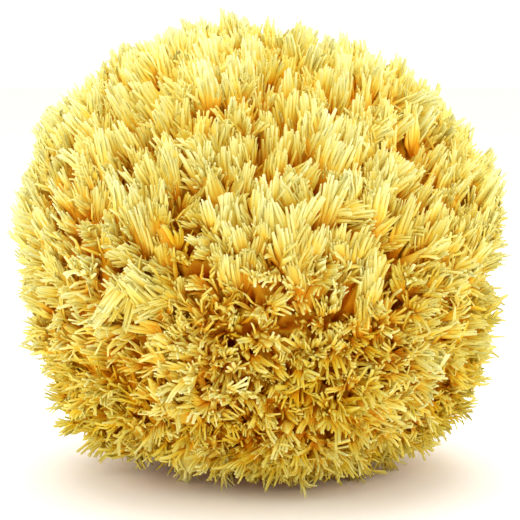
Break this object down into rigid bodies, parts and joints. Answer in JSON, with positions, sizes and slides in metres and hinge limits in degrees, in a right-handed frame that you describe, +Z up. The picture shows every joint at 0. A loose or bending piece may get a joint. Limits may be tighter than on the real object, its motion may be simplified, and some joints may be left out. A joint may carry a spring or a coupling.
{
  "type": "sea sponge",
  "caption": "Natural sea wool sponge: a rounded, lobed skeleton of soft yellow fibre with tufted, fringed sides and a flat cut base.",
  "frame": {"origin": "middle of the object's outline on the surface that it stands on, in the plane of the cut base", "axes": "+Z up, away from the cut base; +X to the right as seen from the front; +Y away from the front"},
  "size_m": [0.14, 0.114, 0.127],
  "materials": {
    "sponge_fibre": "dry, matte, pale straw-yellow fibre that lets some light through, ochre to orange-brown down between the tufts"
  },
  "bodies": {
    "root": {"sponge_skeleton": "sponge_fibre"}
  },
  "joints": []
}
